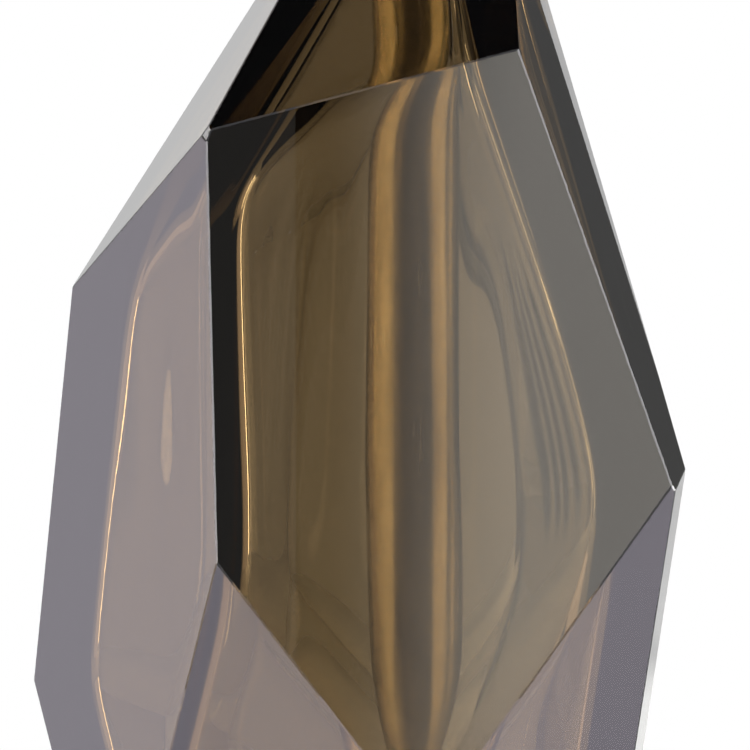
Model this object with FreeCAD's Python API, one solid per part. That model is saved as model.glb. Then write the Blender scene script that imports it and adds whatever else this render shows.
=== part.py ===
"""Cut crystal vase: a thick-walled, flat-cut crystal body with a brass stem tube on its axis.

Frame: millimetres, +Z up, origin on the axis of the stem tube where it meets the surface that
the vase stands on.  -Y is the front, +X the right-hand side.

The crystal is one blown and cut piece.  A brass collar sits in its neck on a rubber gasket,
and the stem tube, closed at its foot, drops through the collar into a soft cup on the floor
of the cavity.  The tube lifts straight out for filling and washing.
"""
import FreeCAD, Part
import math
import os

from FreeCAD import Placement, Rotation, Vector

# ---- driving dimensions -----------------------------------------------------------------
HEIGHT = 283.0             # top cut of the crystal above the resting surface
FELT = 1.5                 # felt under the base cut
CUT_CENTRE_Z = 130.0       # the cuts are dimensioned from this point on the tube axis
ARRIS = 0.6                # width of the polished arris along every outer edge
WALL = 18.0                # crystal between a cut and the cavity
CAVITY_ROUND = 12.0        # inside rounding of the blown cavity
FLOOR = 24.0               # top of the cavity's floor above the resting surface

TUBE_OD = 25.4             # one-inch brass tube
TUBE_WALL = 1.2
RUNNING_GAP = 0.4          # radial gap between the tube and what it slides in
REST_GAP = 0.1             # gap under the rim ring and under the tube's foot

NECK_BORE = 31.0           # bore through the crystal's neck
COLLAR_SPIGOT = 14.0       # how far the collar reaches down into the neck
COLLAR_FLANGE_D = 38.0
COLLAR_FLANGE = 3.0
GASKET = 1.0               # thickness of the rubber between collar and crystal
GASKET_INSET = 0.6         # the rubber stands in from the collar's edge
EDGE_ROUND = 1.0           # rounding of the brass edges
RIM_D = 34.0
RIM = 2.6                  # height of the rolled rim ring on the tube
CAP = 2.0                  # disc that closes the tube's foot
CUP_D = 36.0
CUP_FLOOR = 2.0
CUP_DEPTH = 10.0
CUP_WALL = 2.4
FELT_INSET = 4.0           # felt stands in from the edge of the base cut

# Each flat cut: azimuth of its outward normal (0 = front, 90 = right, 180 = back), how far the
# normal is tipped up, and how far the cut stands from the cut centre.
CUTS = {
    "front": (1.0, 3.0, 69.5),
    "shoulder_front": (-10.0, 38.0, 112.0),
    "shoulder_left": (-80.5, 33.0, 102.0),
    "shoulder_back_left": (-122.0, 25.0, 83.5),
    "shoulder_back": (168.0, 36.0, 106.0),
    "shoulder_back_right": (134.0, 27.0, 88.0),
    "corner_nick": (-42.0, 18.0, 107.7),
    "right_narrow": (68.5, 19.0, 81.0),
    "right_sliver": (79.5, 18.5, 75.5),
    "back_right": (104.0, 12.5, 54.0),
    "left": (-56.0, 0.5, 83.5),
    "back_left": (-126.0, 9.0, 72.5),
    "back": (174.0, 5.0, 66.0),
    "lower_front_left": (-21.0, -13.5, 90.0),
    "lower_front_right": (35.5, -20.0, 92.0),
    "lower_right": (82.5, -11.0, 77.0),
    "lower_back_right_side": (103.0, -3.5, 57.5),
    "lower_back_right": (146.0, -18.0, 84.0),
    "lower_back_left": (-163.0, -17.0, 90.0),
    "lower_left": (-119.0, -23.0, 105.5),
}
BLANK = 400.0              # reach of a plane before the other cuts bound it
MERGE = 1e-5               # corners closer than this are one

# ---- derived sizes ----------------------------------------------------------------------
TUBE_R = TUBE_OD / 2.0
BORE_R = TUBE_R - TUBE_WALL
COLLAR_BORE_R = TUBE_R + RUNNING_GAP
SPIGOT_R = NECK_BORE / 2.0 - GASKET
COLLAR_Z = HEIGHT + GASKET              # underside of the collar's flange
COLLAR_TOP = COLLAR_Z + COLLAR_FLANGE
RIM_Z = COLLAR_TOP + REST_GAP
TUBE_TOP = RIM_Z + RIM
CUP_TOP_OF_FLOOR = FLOOR + CUP_FLOOR
TUBE_FOOT = CUP_TOP_OF_FLOOR + REST_GAP

UP = Vector(0, 0, 1)
CUT_CENTRE = Vector(0, 0, CUT_CENTRE_Z)


# ---- helpers ----------------------------------------------------------------------------
def cut_planes():
    """Every cut as a point on its plane and its outward unit normal."""
    planes = []
    for azimuth, tip, distance in CUTS.values():
        a, t = math.radians(azimuth), math.radians(tip)
        normal = Vector(math.sin(a) * math.cos(t), -math.cos(a) * math.cos(t), math.sin(t))
        planes.append((CUT_CENTRE + normal * distance, normal))
    return planes


def clipped(polygon, point, normal):
    """The part of a flat polygon that lies inside the plane through point."""
    kept = []
    for here, after in zip(polygon, polygon[1:] + polygon[:1]):
        depth_here = (here - point).dot(normal)
        depth_after = (after - point).dot(normal)
        if depth_here <= 0:
            kept.append(here)
        if depth_here * depth_after < 0:
            kept.append(here + (after - here) * (depth_here / (depth_here - depth_after)))
    return kept


def without_repeats(polygon):
    return [p for p, before in zip(polygon, polygon[-1:] + polygon[:-1])
            if p.distanceToPoint(before) > MERGE]


def facet(planes, index):
    """The corners of one cut: its plane, bounded by all the other cuts."""
    point, normal = planes[index]
    turn = Rotation(UP, normal)
    corners = [(-BLANK, -BLANK), (BLANK, -BLANK), (BLANK, BLANK), (-BLANK, BLANK)]
    polygon = [point + turn.multVec(Vector(x, y, 0)) for x, y in corners]
    for other, (other_point, other_normal) in enumerate(planes):
        if other != index and polygon:
            polygon = clipped(polygon, other_point, other_normal)
    return without_repeats(polygon)


def flat_cut_solid(planes):
    """The convex solid inside every plane."""
    faces = []
    for index in range(len(planes)):
        corners = facet(planes, index)
        if len(corners) > 2:
            faces.append(Part.Face(Part.makePolygon(corners + corners[:1])))
    shell = Part.makeShell(faces)
    shell.sewShape()
    return Part.makeSolid(shell)


def arris_planes(solid, width):
    """The planes of the narrow flats that take off a convex solid's edges."""
    flats = []
    for edge in solid.Edges:
        n1, n2 = [face.normalAt(0, 0) for face in solid.ancestorsOfType(edge, Part.Face)]
        normal = (n1 + n2).normalize()
        depth = width / 2.0 * math.tan(n1.getAngle(n2) / 2.0)
        flats.append((edge.valueAt(edge.FirstParameter) - normal * depth, normal))
    return flats


def turned(profile):
    """A solid of revolution about Z from (radius, height) points."""
    points = [Vector(r, 0, z) for r, z in profile]
    wire = Part.makePolygon(points + [points[0]])
    return Part.Face(wire).revolve(Vector(0, 0, 0), UP, 360)


def ring(r_in, r_out, z_low, z_high):
    return turned([(r_in, z_low), (r_out, z_low), (r_out, z_high), (r_in, z_high)])


def circle_edges(solid, radius, height):
    """The solid's round edges of that radius at that height."""
    return [e for e in solid.Edges
            if hasattr(e.Curve, "Radius") and abs(e.Curve.Radius - radius) < 0.01
            and abs(e.CenterOfMass.z - height) < 0.01]


# ---- crystal ----------------------------------------------------------------------------
def outer_form():
    top = (Vector(0, 0, HEIGHT), UP)
    base = (Vector(0, 0, FELT), -UP)
    planes = cut_planes() + [top, base]
    return flat_cut_solid(planes + arris_planes(flat_cut_solid(planes), ARRIS))


def cavity_form():
    """The blown hollow: the cuts moved in by the wall, every corner inside rounded."""
    inset = WALL + CAVITY_ROUND
    planes = [(point - normal * inset, normal) for point, normal in cut_planes()]
    planes.append((Vector(0, 0, FLOOR + CAVITY_ROUND), -UP))
    core = flat_cut_solid(planes)
    hollow = core.makeOffsetShape(CAVITY_ROUND, 0.01, join=0)
    bore = Part.makeCylinder(NECK_BORE / 2.0, HEIGHT - CUT_CENTRE_Z + 1.0, CUT_CENTRE)
    return hollow.fuse(bore)


def crystal_body():
    return outer_form().cut(cavity_form())


# ---- neck fittings ----------------------------------------------------------------------
def collar_gasket():
    """Rubber sleeve in the neck with a flange under the collar."""
    return turned([
        (SPIGOT_R, COLLAR_Z - COLLAR_SPIGOT),
        (NECK_BORE / 2.0, COLLAR_Z - COLLAR_SPIGOT),
        (NECK_BORE / 2.0, HEIGHT),
        (COLLAR_FLANGE_D / 2.0 - GASKET_INSET, HEIGHT),
        (COLLAR_FLANGE_D / 2.0 - GASKET_INSET, COLLAR_Z),
        (SPIGOT_R, COLLAR_Z),
    ])


def mouth_collar():
    """Brass collar: a spigot in the neck and a flange on the top cut."""
    flange_r = COLLAR_FLANGE_D / 2.0
    collar = turned([
        (COLLAR_BORE_R, COLLAR_Z - COLLAR_SPIGOT),
        (SPIGOT_R, COLLAR_Z - COLLAR_SPIGOT),
        (SPIGOT_R, COLLAR_Z),
        (flange_r, COLLAR_Z),
        (flange_r, COLLAR_TOP),
        (COLLAR_BORE_R, COLLAR_TOP),
    ])
    return collar.makeFillet(EDGE_ROUND, circle_edges(collar, flange_r, COLLAR_TOP))


# ---- lift-out stem tube -----------------------------------------------------------------
def stem_tube():
    return ring(BORE_R, TUBE_R, TUBE_FOOT + CAP, TUBE_TOP)


def tube_end_cap():
    """Disc soldered under the tube's foot."""
    cap = Part.makeCylinder(TUBE_R, CAP, Vector(0, 0, TUBE_FOOT))
    return cap.makeFillet(EDGE_ROUND, circle_edges(cap, TUBE_R, TUBE_FOOT))


def tube_rim():
    """Rolled ring round the mouth of the tube: it rests on the collar and is the finger grip."""
    rim = ring(TUBE_R, RIM_D / 2.0, RIM_Z, TUBE_TOP)
    rim = rim.makeFillet(EDGE_ROUND, circle_edges(rim, RIM_D / 2.0, TUBE_TOP))
    return rim.makeFillet(EDGE_ROUND / 2, circle_edges(rim, RIM_D / 2.0, RIM_Z))


# ---- inside the foot and under it -------------------------------------------------------
def centring_cup():
    """Soft cup on the cavity's floor that keeps the tube's foot on the axis."""
    inner_r = TUBE_R + RUNNING_GAP
    return turned([
        (0.0, FLOOR),
        (CUP_D / 2.0, FLOOR),
        (CUP_D / 2.0, CUP_TOP_OF_FLOOR),
        (inner_r + CUP_WALL, CUP_TOP_OF_FLOOR),
        (inner_r + CUP_WALL, FLOOR + CUP_DEPTH),
        (inner_r, FLOOR + CUP_DEPTH),
        (inner_r, CUP_TOP_OF_FLOOR),
        (0.0, CUP_TOP_OF_FLOOR),
    ])


def base_felt():
    """Felt cut to the outline of the base cut, standing in from its edge all round."""
    planes = cut_planes() + [(Vector(0, 0, FELT), -UP), (Vector(0, 0, HEIGHT), UP)]
    solid = flat_cut_solid(planes)
    base_face = min(solid.Faces, key=lambda face: face.CenterOfMass.z)
    outline = base_face.OuterWire.makeOffset2D(-FELT_INSET)
    return Part.Face(outline).extrude(Vector(0, 0, -FELT))


def main():
    nodes = {
        "crystal_body": crystal_body(),
        "collar_gasket": collar_gasket(),
        "mouth_collar": mouth_collar(),
        "stem_tube": stem_tube(),
        "tube_end_cap": tube_end_cap(),
        "tube_rim": tube_rim(),
        "centring_cup": centring_cup(),
        "base_felt": base_felt(),
    }
    os.makedirs("parts", exist_ok=True)
    for name, shape in nodes.items():
        solids = shape.Solids
        if len(solids) != 1 or not shape.isValid():
            raise RuntimeError(f"{name}: {len(solids)} solids, valid {shape.isValid()}")
        box = shape.BoundBox
        print(f"{name}: {shape.Volume / 1000.0:.1f} cm3, faces {len(shape.Faces)}, "
              f"x {box.XMin:.1f}..{box.XMax:.1f} y {box.YMin:.1f}..{box.YMax:.1f} "
              f"z {box.ZMin:.1f}..{box.ZMax:.1f}")
        solids[0].exportStep(os.path.join("parts", name + ".step"))


main()
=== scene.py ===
"""Looks for the cut crystal vase: smoky flat-cut crystal round a lift-out brass stem tube.

Everything is in metres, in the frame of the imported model: the tube's axis is Z, the vase
stands on z = 0, and -Y is the front.
"""

import math

import bmesh
import bpy
import numpy as np
from mathutils import Euler, Matrix, Vector


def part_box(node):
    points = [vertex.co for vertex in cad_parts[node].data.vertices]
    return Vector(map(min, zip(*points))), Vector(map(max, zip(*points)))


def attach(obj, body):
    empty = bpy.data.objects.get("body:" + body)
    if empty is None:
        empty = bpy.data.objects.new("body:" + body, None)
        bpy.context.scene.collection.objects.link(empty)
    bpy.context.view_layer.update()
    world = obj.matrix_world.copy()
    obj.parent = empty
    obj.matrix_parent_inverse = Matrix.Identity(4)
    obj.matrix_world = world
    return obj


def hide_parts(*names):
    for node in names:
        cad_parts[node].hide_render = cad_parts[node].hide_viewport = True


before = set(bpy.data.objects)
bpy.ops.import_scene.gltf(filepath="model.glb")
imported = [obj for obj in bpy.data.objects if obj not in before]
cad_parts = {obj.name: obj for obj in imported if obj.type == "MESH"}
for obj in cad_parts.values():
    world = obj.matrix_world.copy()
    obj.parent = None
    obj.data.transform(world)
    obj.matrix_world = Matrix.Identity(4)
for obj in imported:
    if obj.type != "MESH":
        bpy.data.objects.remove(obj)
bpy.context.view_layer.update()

MM = 0.001

# ---- sizes that the frame gives ---------------------------------------------------------
CRYSTAL_LOW, CRYSTAL_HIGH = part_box("crystal_body")
TUBE_LOW, TUBE_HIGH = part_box("stem_tube")
RIM_LOW, RIM_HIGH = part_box("tube_rim")
COLLAR_LOW, COLLAR_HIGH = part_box("mouth_collar")
GASKET_LOW, GASKET_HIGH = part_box("collar_gasket")
CAP_LOW, CAP_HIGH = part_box("tube_end_cap")
CUP_LOW, CUP_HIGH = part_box("centring_cup")
TUBE_R = TUBE_HIGH.x

# ---- sizes that the looks add -----------------------------------------------------------
TUBE_WALL = 1.2 * MM
RUNNING_GAP = 0.4 * MM
GASKET_WALL = 1.0 * MM
CUP_WALL = 2.4 * MM
CUP_FLOOR = 2.0 * MM
NECK_BORE_R = 15.5 * MM
WALL = 18.0 * MM                # crystal between a cut and the hollow
SHOULDER_TURN = math.radians(-8)  # the hollow's wall above the front cut is not parallel to it
CORNER_SHARPNESS = 430.0        # per metre: how tightly the hollow turns its corners
NECK_SHARPNESS = 500.0          # the same, where the hollow meets the neck's bore
HOLLOW_CENTRE = Vector((0, 0, 0.46 * CRYSTAL_HIGH.z))
SKIN = 0.05 * MM                # air between the crystal and what touches it
FACET_AREA = 400 * MM * MM      # a flat larger than this is a cut, a smaller one an arris
FLATNESS = math.radians(0.4)    # faces that turn less than this are one flat
LEVEL = 0.99                    # a flat whose normal's Z is beyond this is the top or the base
SHARP = math.radians(35)        # a turned edge that turns more than this stays crisp
NECK_ROWS, HOLLOW_ROWS, HOLLOW_COLUMNS = 24, 300, 320
REACH_LIMIT = 0.3               # longer than any line from the hollow's centre to its wall
HALVINGS = 36                   # steps that narrow such a line down to its true length
FRONT = 1.5 * math.pi           # the angle about Z at which -Y lies
RIPPLE_SIZE = 0.34 * MM
RIPPLE_WAVES = range(4, 26)     # waves round the wall, from the broadest to the finest
RIPPLE_RISE = 14                # the most that a wave slants, in radians per metre
SEED = 11


# ---- mesh helpers -----------------------------------------------------------------------
def new_piece(name, bm, body, replaced, material):
    """A mesh object from bm that rides on body and stands for the replaced CAD node."""
    mesh = bpy.data.meshes.new(name)
    bm.to_mesh(mesh)
    bm.free()
    piece = bpy.data.objects.new(name, mesh)
    bpy.context.scene.collection.objects.link(piece)
    mesh.materials.append(material)
    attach(piece, body)
    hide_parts(replaced)
    return piece


def rounded(corners, segments=6):
    """A closed (radius, height) outline with each corner (r, z, rounding) turned by an arc."""
    points = []
    for index, (r, z, rounding) in enumerate(corners):
        here = Vector((r, z))
        if not rounding:
            points.append(here)
            continue
        before = Vector(corners[index - 1][:2])
        after = Vector(corners[(index + 1) % len(corners)][:2])
        start = here + (before - here).normalized() * rounding
        end = here + (after - here).normalized() * rounding
        for step in range(segments + 1):
            t = step / segments
            points.append(start * (1 - t) ** 2 + here * 2 * t * (1 - t) + end * t * t)
    return points


def with_supports(outline, inset=0.2 * MM):
    """The outline with a point just inside each end of its long straight runs."""
    points = []
    for here, after in zip(outline, outline[1:] + outline[:1]):
        points.append(here)
        run = after - here
        if run.length > 6 * inset and here.x + after.x > 0:
            points.append(here + run.normalized() * inset)
            points.append(after - run.normalized() * inset)
    return points


def turned(outline, columns=192):
    """A bmesh solid of revolution about Z from a closed (radius, height) outline."""
    outline = with_supports(outline)
    bm = bmesh.new()
    rings = []
    for point in outline:
        ring = []
        for column in range(columns):
            angle = 2 * math.pi * column / columns
            place = (point.x * math.cos(angle), point.x * math.sin(angle), point.y)
            ring.append(bm.verts.new(place))
        rings.append(ring)
    for index, ring in enumerate(rings):
        following = rings[(index + 1) % len(rings)]
        if outline[index].x == 0 and outline[(index + 1) % len(rings)].x == 0:
            continue
        for column in range(columns):
            beside = (column + 1) % columns
            bm.faces.new((ring[column], ring[beside], following[beside], following[column]))
    bmesh.ops.remove_doubles(bm, verts=bm.verts, dist=1e-7)
    bmesh.ops.recalc_face_normals(bm, faces=bm.faces)
    for face in bm.faces:
        face.smooth = True
    for edge in bm.edges:
        edge.smooth = edge.calc_face_angle() < SHARP
    return bm


# ---- crystal ----------------------------------------------------------------------------
def outer_cuts():
    """The flat outside of the crystal, with its arrises, as one closed bmesh.

    The hollow's own vertices fall inside the hull, and those of the bore are left out.
    """
    bm = bmesh.new()
    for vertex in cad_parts["crystal_body"].data.vertices:
        if vertex.co.xy.length > NECK_BORE_R + 1 * MM:
            bm.verts.new(vertex.co)
    bmesh.ops.remove_doubles(bm, verts=bm.verts, dist=1e-6)
    hull = bmesh.ops.convex_hull(bm, input=bm.verts)
    inside = hull["geom_interior"] + hull["geom_unused"]
    spare = {item for item in inside if isinstance(item, bmesh.types.BMVert)}
    bmesh.ops.delete(bm, geom=list(spare), context="VERTS")
    bmesh.ops.dissolve_limit(bm, angle_limit=FLATNESS, verts=bm.verts, edges=bm.edges)
    for vertex in bm.verts:
        vertex.co.z = min(max(vertex.co.z, CRYSTAL_LOW.z + SKIN), CRYSTAL_HIGH.z - SKIN)
    bmesh.ops.recalc_face_normals(bm, faces=bm.faces)
    return bm


def hollow_planes(bm):
    """Normals and distances of the planes that bound the hollow: its floor, and one per cut."""
    normals, distances = [(0, 0, -1)], [-CUP_LOW.z]
    for face in bm.faces:
        if face.calc_area() > FACET_AREA and abs(face.normal.z) < LEVEL:
            normal = face.normal.copy()
            middle = face.calc_center_median() - normal * WALL
            if normal.z > 0.5 and normal.y < -0.5:
                normal.rotate(Euler((0, 0, SHOULDER_TURN)))
            normals.append(tuple(normal))
            distances.append(normal.dot(middle))
    return np.array(normals), np.array(distances)


def smooth_max(values, sharpness):
    """Soft maximum along the last axis."""
    top = values.max(-1, keepdims=True)
    return top[..., 0] + np.log(np.exp((values - top) * sharpness).sum(-1)) / sharpness


def hollow_reach(directions, normals, distances):
    """How far each direction runs from the centre to the hollow's wall."""
    slopes = directions @ normals.T
    levels = distances - normals @ np.array(HOLLOW_CENTRE)
    near, far = np.zeros(len(directions)), np.full(len(directions), REACH_LIMIT)
    for _ in range(HALVINGS):
        middle = (near + far) / 2
        outside = smooth_max(slopes * middle[:, None] - levels, CORNER_SHARPNESS) > 0
        far = np.where(outside, middle, far)
        near = np.where(outside, near, middle)
    return near


def blown_ripple(angle, height):
    """The faint upright waviness of a blown wall, in metres, calmer behind the front cut."""
    rng = np.random.default_rng(SEED)
    ripple = np.zeros_like(angle)
    calm = 1 - 0.85 * np.exp(-((angle - FRONT) / 0.35) ** 2)
    for waves in RIPPLE_WAVES:
        size = RIPPLE_SIZE / (1 + waves / 5)
        rise = rng.uniform(-RIPPLE_RISE, RIPPLE_RISE)
        ripple += size * np.cos(waves * angle + rise * height + rng.uniform(0, 2 * math.pi))
    return ripple * calm


def ripple_fade(up):
    """How much of the ripple is left: none at the foot or in the neck. up is a direction's Z."""
    return np.clip((up + 0.6) / 0.6, 0, 1) * np.clip((0.95 - up) / 0.2, 0, 1)


def hollow_grid(normals, distances):
    """Rows of points down the wall of the neck and the hollow, and the point at its foot."""
    mouth_height = CRYSTAL_HIGH.z - SKIN - HOLLOW_CENTRE.z
    mouth_tilt = math.atan2(NECK_BORE_R, mouth_height)
    neck_tilt = mouth_tilt * 1.6
    tilts = np.concatenate([
        np.linspace(mouth_tilt, neck_tilt, NECK_ROWS, endpoint=False),
        np.linspace(neck_tilt, math.pi, HOLLOW_ROWS),
    ])
    angles = np.linspace(0, 2 * math.pi, HOLLOW_COLUMNS, endpoint=False)
    tilt, angle = np.meshgrid(tilts, angles, indexing="ij")
    flat = np.stack([np.sin(tilt) * np.cos(angle), np.sin(tilt) * np.sin(angle), np.cos(tilt)], -1)
    directions = flat.reshape(-1, 3)
    reach = hollow_reach(directions, normals, distances)
    up = directions[:, 2]
    reach += ripple_fade(up) * blown_ripple(angle.ravel(), reach * up)
    sideways = np.maximum(np.hypot(directions[:, 0], directions[:, 1]), 1e-6)
    bore = np.where(up > 0.5, NECK_BORE_R / sideways, 0.0)
    reach = smooth_max(np.stack([reach, bore], -1), NECK_SHARPNESS)
    reach = reach.reshape(tilt.shape)
    reach[0] = NECK_BORE_R / math.sin(mouth_tilt)
    return np.array(HOLLOW_CENTRE) + flat * reach[..., None]


def add_hollow(bm):
    """Adds the hollow's wall to the outer cuts and joins the two at the mouth.

    Every face is smooth and the cuts' edges are marked sharp, because with a mix of flat and
    smooth faces the crystal's volume takes too much of the light.
    """
    normals, distances = hollow_planes(bm)
    grid = hollow_grid(normals, distances)
    top = max(bm.faces, key=lambda face: face.calc_center_median().z)
    outline = list(top.edges)
    crisp = list(bm.edges)
    bmesh.ops.delete(bm, geom=[top], context="FACES_ONLY")
    rows = [[bm.verts.new(point) for point in row] for row in grid[:-1]]
    foot = bm.verts.new(grid[-1][0])
    for row, below in zip(rows, rows[1:]):
        for column in range(HOLLOW_COLUMNS):
            beside = (column + 1) % HOLLOW_COLUMNS
            bm.faces.new((row[column], row[beside], below[beside], below[column]))
    for column in range(HOLLOW_COLUMNS):
        beside = (column + 1) % HOLLOW_COLUMNS
        bm.faces.new((rows[-1][column], rows[-1][beside], foot))
    mouth = [bm.edges.get((rows[0][c - 1], rows[0][c])) for c in range(HOLLOW_COLUMNS)]
    bmesh.ops.triangle_fill(
        bm, use_beauty=True, use_dissolve=False, edges=outline + mouth, normal=(0, 0, 1))
    bmesh.ops.recalc_face_normals(bm, faces=bm.faces)
    for face in bm.faces:
        face.smooth = True
    for edge in crisp + mouth:
        edge.smooth = False


def crystal(material):
    bm = outer_cuts()
    add_hollow(bm)
    return new_piece("cut_crystal", bm, "vase", "crystal_body", material)


# ---- brass and rubber -------------------------------------------------------------------
def tube(material):
    bore = TUBE_R - TUBE_WALL
    outline = rounded([
        (bore, TUBE_LOW.z, 0),
        (TUBE_R, TUBE_LOW.z, 0),
        (TUBE_R, TUBE_HIGH.z, 0.4 * MM),
        (bore, TUBE_HIGH.z, 0.5 * MM),
    ])
    return new_piece("brass_tube", turned(outline), "stem_liner", "stem_tube", material)


def end_cap(material):
    outline = rounded([
        (0, CAP_LOW.z, 0),
        (TUBE_R, CAP_LOW.z, 0.9 * MM),
        (TUBE_R, CAP_HIGH.z, 0),
        (0, CAP_HIGH.z, 0),
    ])
    return new_piece("brass_end_cap", turned(outline), "stem_liner", "tube_end_cap", material)


def rim_ring(material):
    outline = rounded([
        (TUBE_R, RIM_LOW.z, 0),
        (RIM_HIGH.x, RIM_LOW.z, 0.6 * MM),
        (RIM_HIGH.x, RIM_HIGH.z, 1.2 * MM),
        (TUBE_R, RIM_HIGH.z, 0.2 * MM),
    ])
    return new_piece("brass_rim_ring", turned(outline), "stem_liner", "tube_rim", material)


def collar(material):
    bore = TUBE_R + RUNNING_GAP
    spigot = NECK_BORE_R - GASKET_WALL
    outline = rounded([
        (bore, COLLAR_LOW.z, 0.3 * MM),
        (spigot, COLLAR_LOW.z, 0.3 * MM),
        (spigot, GASKET_HIGH.z, 0),
        (COLLAR_HIGH.x, GASKET_HIGH.z, 0.3 * MM),
        (COLLAR_HIGH.x, COLLAR_HIGH.z, 1.2 * MM),
        (bore, COLLAR_HIGH.z, 0.3 * MM),
    ])
    return new_piece("brass_collar", turned(outline), "vase", "mouth_collar", material)


def gasket(material):
    spigot = NECK_BORE_R - GASKET_WALL
    bore = NECK_BORE_R - SKIN
    outline = rounded([
        (spigot, GASKET_LOW.z, 0.2 * MM),
        (bore, GASKET_LOW.z, 0.2 * MM),
        (bore, CRYSTAL_HIGH.z, 0),
        (GASKET_HIGH.x, CRYSTAL_HIGH.z, 0.2 * MM),
        (GASKET_HIGH.x, GASKET_HIGH.z, 0.2 * MM),
        (spigot, GASKET_HIGH.z, 0),
    ])
    return new_piece("neck_gasket", turned(outline), "vase", "collar_gasket", material)


def foot_cup(material):
    inner = TUBE_R + RUNNING_GAP
    floor = CUP_LOW.z + CUP_FLOOR
    outline = rounded([
        (0, CUP_LOW.z + SKIN, 0),
        (CUP_HIGH.x, CUP_LOW.z + SKIN, 0.4 * MM),
        (CUP_HIGH.x, floor, 0.8 * MM),
        (inner + CUP_WALL, floor, 0.8 * MM),
        (inner + CUP_WALL, CUP_HIGH.z, 0.8 * MM),
        (inner, CUP_HIGH.z, 0.8 * MM),
        (inner, floor, 0),
        (0, floor, 0),
    ])
    return new_piece("foot_cup", turned(outline), "vase", "centring_cup", material)


# ---- materials --------------------------------------------------------------------------
class Surface:
    """A new material with its Principled shader, and short ways to add nodes to it."""

    def __init__(self, name, **sockets):
        self.material = bpy.data.materials.new(name)
        self.material.use_nodes = True
        self.tree = self.material.node_tree
        self.shader = self.tree.nodes["Principled BSDF"]
        for socket, value in sockets.items():
            self.shader.inputs[socket.replace("_", " ")].default_value = value

    def node(self, kind, **values):
        made = self.tree.nodes.new(kind)
        for name, value in values.items():
            if hasattr(made, name):
                setattr(made, name, value)
            else:
                made.inputs[name.replace("_", " ")].default_value = value
        return made

    def link(self, source, target):
        self.tree.links.new(source, target)

    def stretched_coords(self, scale):
        coords = self.node("ShaderNodeTexCoord")
        mapping = self.node("ShaderNodeMapping", Scale=scale)
        self.link(coords.outputs["Object"], mapping.inputs["Vector"])
        return mapping.outputs["Vector"]

    def noise(self, vector, **values):
        made = self.node("ShaderNodeTexNoise", **values)
        self.link(vector, made.inputs["Vector"])
        return made.outputs["Fac"]

    def ramp(self, source, stops):
        made = self.node("ShaderNodeValToRGB")
        elements = made.color_ramp.elements
        while len(elements) < len(stops):
            elements.new(0.5)
        for element, (place, colour) in zip(elements, stops):
            element.position = place
            element.color = (*colour, 1)
        self.link(source, made.inputs["Fac"])
        return made.outputs["Color"]

    def range(self, source, low, high):
        made = self.node("ShaderNodeMapRange", To_Min=low, To_Max=high)
        self.link(source, made.inputs["Value"])
        return made.outputs["Result"]

    def bump(self, height, strength, distance):
        made = self.node("ShaderNodeBump", Strength=strength, Distance=distance)
        self.link(height, made.inputs["Height"])
        self.link(made.outputs["Normal"], self.shader.inputs["Normal"])


ROUGHNESS_SPREAD = 0.06         # how far the brass's grain moves its roughness either way
GRAIN_DEPTH = 0.015 * MM
DRAWN_GRAIN = (1, 1, 0.03)      # long lines up the tube
TURNED_GRAIN = (1, 1, 8)        # fine lines round a ring


def crystal_material():
    """Smoky crystal: brown in depth, with a faint lilac lustre on its polished cuts."""
    surface = Surface(
        "smoky_crystal", Base_Color=(1.0, 1.0, 1.0, 1), Metallic=0.0, IOR=1.54,
        Transmission_Weight=1.0, Specular_Tint=(0.96, 0.94, 1.0, 1),
    )
    polish = surface.noise(surface.stretched_coords((1, 1, 1)), Scale=9.0, Detail=2.0)
    surface.link(surface.range(polish, 0.0, 0.003), surface.shader.inputs["Roughness"])
    smoke = surface.node("ShaderNodeVolumeAbsorption", Color=(0.45, 0.355, 0.17, 1), Density=106.0)
    output = surface.tree.nodes["Material Output"]
    surface.link(smoke.outputs["Volume"], output.inputs["Volume"])
    return surface.material


def brass_material(name, grain, roughness):
    """Antique brass: drawn or turned grain, with darker patches where it has aged."""
    surface = Surface(name, Metallic=1.0)
    age = surface.noise(surface.stretched_coords((1, 1, 0.35)), Scale=90.0, Detail=6.0, Roughness=0.62)
    colours = surface.ramp(age, [
        (0.30, (0.36, 0.29, 0.16)),
        (0.52, (0.44, 0.36, 0.21)),
        (0.72, (0.53, 0.44, 0.27)),
    ])
    surface.link(colours, surface.shader.inputs["Base Color"])
    lines = surface.noise(surface.stretched_coords(grain), Scale=900.0, Detail=4.0, Roughness=0.6)
    polish = surface.range(lines, roughness - ROUGHNESS_SPREAD, roughness + ROUGHNESS_SPREAD)
    surface.link(polish, surface.shader.inputs["Roughness"])
    surface.bump(lines, 0.30, GRAIN_DEPTH)
    return surface.material


def silicone_material():
    surface = Surface("pale_silicone", Roughness=0.45, IOR=1.41, Subsurface_Weight=0.3)
    surface.shader.inputs["Subsurface Radius"].default_value = (0.004, 0.004, 0.004)
    mottle = surface.noise(surface.stretched_coords((1, 1, 1)), Scale=160.0, Detail=4.0)
    colours = surface.ramp(mottle, [(0.3, (0.40, 0.38, 0.35)), (0.7, (0.52, 0.50, 0.47))])
    surface.link(colours, surface.shader.inputs["Base Color"])
    surface.bump(mottle, 0.15, 0.0001)
    return surface.material


def felt_material():
    surface = Surface("wool_felt", Roughness=0.95, Sheen_Weight=0.35, Sheen_Roughness=0.5)
    fibres = surface.noise(surface.stretched_coords((1, 1, 1)), Scale=1400.0, Detail=8.0, Roughness=0.7)
    colours = surface.ramp(fibres, [(0.35, (0.42, 0.39, 0.35)), (0.65, (0.66, 0.62, 0.57))])
    surface.link(colours, surface.shader.inputs["Base Color"])
    surface.bump(fibres, 0.8, 0.0005)
    return surface.material


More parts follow.
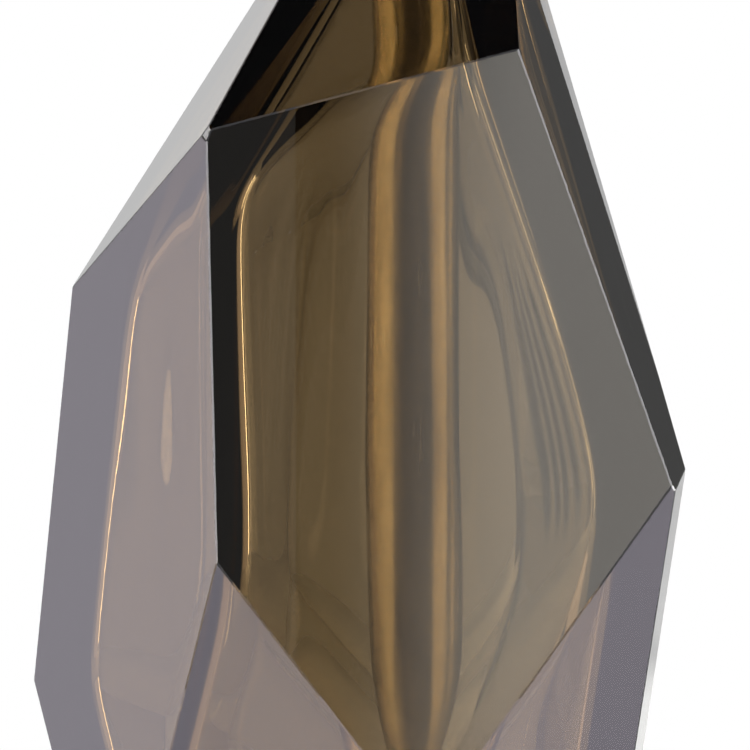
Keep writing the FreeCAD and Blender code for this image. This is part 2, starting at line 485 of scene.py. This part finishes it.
# ---- studio -----------------------------------------------------------------------------
FRAME_WIDTH = 0.200                       # what the picture takes in, side to side
FRAME_CENTRE = Vector((-0.0107, 0, 0.152))
CAMERA_DISTANCE = 6.0
SENSOR = 36.0
CAMERA_REACH = 40.0
FLOOR_SIZE = 4.8
FLOOR_CARD_HEIGHT = 0.004
CARD_DISTANCE = 1.2                       # of the standing cards from the axis
FRONT_GLOW = Vector((0.17, -2.98, 0.47))
STRIPS = ((-95, 26.0), (100, 14.0), (150, 28.0))   # azimuth from the front, strength
SOFT_WHITE = (1.0, 1.0, 0.97, 1)
WARM_WHITE = (1.0, 0.97, 0.84, 1)
LILAC_WHITE = (1.0, 0.95, 1.03, 1)


def add_camera():
    data = bpy.data.cameras.new("camera")
    data.sensor_width = SENSOR
    data.lens = SENSOR * CAMERA_DISTANCE / FRAME_WIDTH
    data.clip_end = CAMERA_REACH
    camera = bpy.data.objects.new("camera", data)
    camera.location = FRAME_CENTRE - Vector((0, CAMERA_DISTANCE, 0))
    camera.rotation_euler = (math.pi / 2, 0, 0)
    bpy.context.scene.collection.objects.link(camera)
    bpy.context.scene.camera = camera


def panel(name, centre, width, height, facing):
    """A flat rectangle at centre whose face looks at the point facing."""
    normal = (Vector(facing) - Vector(centre)).normalized()
    side = Vector((0, 0, 1)).cross(normal) if abs(normal.z) < 0.999 else Vector((1, 0, 0))
    side.normalize()
    bm = bmesh.new()
    corners = ((-1, -1), (1, -1), (1, 1), (-1, 1))
    bm.faces.new([bm.verts.new((x * width / 2, y * height / 2, 0)) for x, y in corners])
    mesh = bpy.data.meshes.new(name)
    bm.to_mesh(mesh)
    bm.free()
    made = bpy.data.objects.new(name, mesh)
    made.location = centre
    made.rotation_euler = Matrix((side, normal.cross(side), normal)).transposed().to_euler()
    bpy.context.scene.collection.objects.link(made)
    return made


def add_flag(name, centre, width, height, facing=FRAME_CENTRE):
    """A black card that the crystal and the brass reflect.

    The camera looks straight through it, and it casts no shadow.
    """
    card = panel(name, centre, width, height, facing)
    surface = Surface(name, Roughness=1.0, Base_Color=(0.01, 0.01, 0.01, 1))
    card.data.materials.append(surface.material)
    card.visible_camera = False
    card.visible_shadow = False
    return surface


def add_glow(name, centre, width, height, strength, facing=FRAME_CENTRE, colour=SOFT_WHITE):
    """The same card, lit."""
    surface = add_flag(name, centre, width, height, facing)
    surface.shader.inputs["Emission Color"].default_value = colour
    surface.shader.inputs["Emission Strength"].default_value = strength
    return surface


def standing_glow(name, degrees, height, width, tall, strength, colour=SOFT_WHITE):
    """A lit card that stands at an azimuth from the front, positive to the right."""
    angle = math.radians(degrees)
    centre = (CARD_DISTANCE * math.sin(angle), -CARD_DISTANCE * math.cos(angle), height)
    add_glow(name, centre, width, tall, strength, colour=colour)


def floor_glow(name, x, y, width, depth, strength):
    """A lit card that lies face up just over the floor."""
    add_glow(name, (x, y, FLOOR_CARD_HEIGHT), width, depth, strength, (x, y, 1), LILAC_WHITE)


def add_front_glow():
    """The lit card that greys the right-hand half of the front cut.

    It stands between the camera and the vase, above the line of sight. It faces +Y, so its own
    X runs to the left, and the light fades out that way.
    """
    ahead = (FRONT_GLOW.x, 0, FRONT_GLOW.z)
    surface = add_glow("front_glow", FRONT_GLOW, 0.22, 0.32, 0.0, ahead, WARM_WHITE)
    coords = surface.node("ShaderNodeTexCoord")
    split = surface.node("ShaderNodeSeparateXYZ")
    surface.link(coords.outputs["Object"], split.inputs["Vector"])
    fade = surface.node("ShaderNodeMapRange", From_Min=0.10, From_Max=0.015, To_Min=0.0, To_Max=3.5)
    fade.interpolation_type = "SMOOTHSTEP"
    surface.link(split.outputs["X"], fade.inputs["Value"])
    surface.link(fade.outputs["Result"], surface.shader.inputs["Emission Strength"])


def add_world():
    world = bpy.data.worlds.new("studio")
    world.use_nodes = True
    world.node_tree.nodes["Background"].inputs["Color"].default_value = (1, 1, 1, 1)
    world.node_tree.nodes["Background"].inputs["Strength"].default_value = 1.0
    bpy.context.scene.world = world


def add_floor():
    floor = panel("floor", (0, 0, 0), FLOOR_SIZE, FLOOR_SIZE, (0, 0, 1))
    surface = Surface("floor", Roughness=0.9)
    speckle = surface.noise(surface.stretched_coords((1, 1, 1)), Scale=40.0, Detail=4.0)
    colours = surface.ramp(speckle, [(0.3, (0.86, 0.86, 0.86)), (0.7, (0.90, 0.90, 0.90))])
    surface.link(colours, surface.shader.inputs["Base Color"])
    floor.data.materials.append(surface.material)


def add_studio():
    scene = bpy.context.scene
    scene.view_settings.view_transform = "Standard"
    scene.cycles.max_bounces = 32
    scene.cycles.transmission_bounces = 32
    scene.cycles.glossy_bounces = 16
    add_world()
    add_floor()
    add_glow("front_flag", (0, -3.0, 0.4), 4.4, 4.0, 0.3, colour=WARM_WHITE)  # barely lit
    add_flag("top_flag", (0, -0.2, 1.3), 2.2, 1.6)
    standing_glow("left_glow", -70, 0.50, 0.80, 1.0, 7.2)
    standing_glow("back_left_glow", -112, 0.35, 0.62, 1.0, 2.7, LILAC_WHITE)
    standing_glow("right_glow", 60, 0.50, 0.80, 1.0, 7.2)
    standing_glow("back_right_glow", 140, 0.40, 0.60, 1.2, 0.25)
    floor_glow("low_left_glow", -0.21, -0.22, 0.34, 0.30, 3.1)
    floor_glow("low_right_glow", 0.22, -0.10, 0.30, 0.26, 3.4)
    add_front_glow()
    for degrees, strength in STRIPS:
        standing_glow(f"strip_{degrees}", degrees, 0.50, 0.07, 1.0, strength)


# ---- the object -------------------------------------------------------------------------
def dress():
    tube_brass = brass_material("tube_brass", DRAWN_GRAIN, 0.25)
    turned_brass = brass_material("turned_brass", TURNED_GRAIN, 0.26)
    silicone = silicone_material()
    crystal(crystal_material())
    tube(tube_brass)
    end_cap(tube_brass)
    rim_ring(turned_brass)
    collar(turned_brass)
    gasket(silicone)
    foot_cup(silicone)
    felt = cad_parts["base_felt"]
    felt.data.materials.clear()
    felt.data.materials.append(felt_material())


add_camera()
add_studio()
dress()
